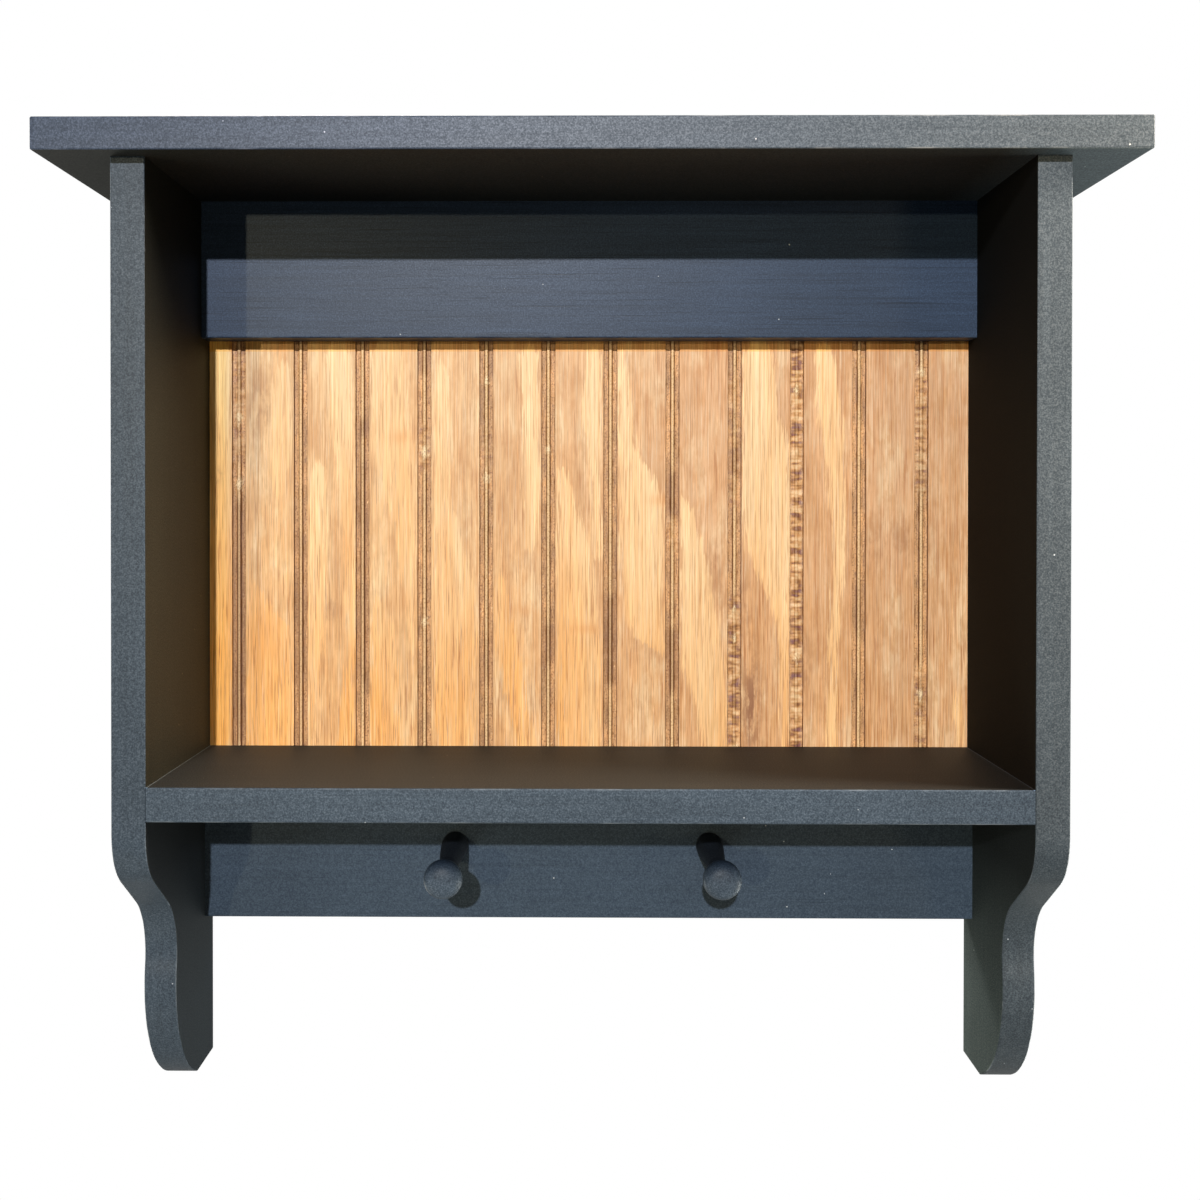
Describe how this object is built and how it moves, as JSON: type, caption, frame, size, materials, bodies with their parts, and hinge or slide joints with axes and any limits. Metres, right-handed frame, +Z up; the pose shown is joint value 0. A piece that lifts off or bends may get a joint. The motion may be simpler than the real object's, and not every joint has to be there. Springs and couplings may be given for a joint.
{
  "type": "shaker peg rail with shelf",
  "caption": "Wall-hung wooden shelf cubby with an overhanging top, scrolled side legs, a beaded plywood back and a rail of turned pegs under the shelf.",
  "frame": {"origin": "midway between the round entry holes of the two keyhole hangers, on the wall plane", "axes": "+X along the rails to the right as seen from the front, +Y into the wall, +Z up; the front faces -Y"},
  "size_m": [0.5968, 0.1542, 0.5576],
  "materials": {
    "painted_wood": "satin slate blue-grey paint on pine",
    "stained_plywood": "honey-stained beaded pine plywood",
    "zinc_steel": "zinc-plated pressed steel",
    "bright_nails": "bright drawn steel wire"
  },
  "bodies": {
    "root": {"top_board": "painted_wood", "left_side": "painted_wood", "right_side": "painted_wood", "shelf": "painted_wood", "upper_rail": "painted_wood", "peg_rail": "painted_wood", "left_peg": "painted_wood", "right_peg": "painted_wood", "beadboard_panel": "stained_plywood", "left_hanger": "zinc_steel", "right_hanger": "zinc_steel", "hanger_screws": "zinc_steel", "top_nails": "bright_nails", "shelf_nails": "bright_nails", "upper_rail_nails": "bright_nails", "peg_rail_nails": "bright_nails", "panel_brads": "bright_nails"}
  },
  "joints": []
}
